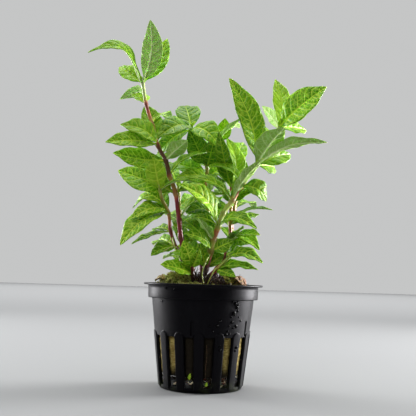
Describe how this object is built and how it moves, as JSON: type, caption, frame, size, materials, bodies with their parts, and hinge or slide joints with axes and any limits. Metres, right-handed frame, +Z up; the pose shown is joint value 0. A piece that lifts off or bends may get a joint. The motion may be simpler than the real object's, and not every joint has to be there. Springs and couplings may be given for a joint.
{
  "type": "potted hygrophila",
  "caption": "Bushy aquarium plant with net-veined leaves on upright stems, rooted in a rock wool plug in a slotted black net pot.",
  "frame": {"origin": "centre of the pot's underside", "axes": "+Z up, -Y towards the viewer of the picture, +X to the viewer's right"},
  "size_m": [0.1085, 0.0745, 0.1671],
  "materials": {
    "pot": "satin black moulded plastic",
    "plug": "fibrous rock wool, tan with green algae",
    "root": "pale damp roots",
    "leaf": "semi-gloss fresh green leaf with pale net veins, on green to red-brown stems",
    "withered": "dry brown leaf"
  },
  "bodies": {
    "root": {"net_pot": "pot", "rockwool_plug": "plug", "root_tangle": "root", "stem_tall": "leaf", "stem_left": "leaf", "stem_middle": "leaf", "stem_inner": "leaf", "stem_right": "leaf", "shoot_front": "leaf", "shoot_side": "leaf", "shoot_back_left": "leaf", "shoot_back_right": "leaf", "withered_leaf_long": "withered", "withered_leaf_short": "withered", "withered_scrap": "withered"}
  },
  "joints": []
}
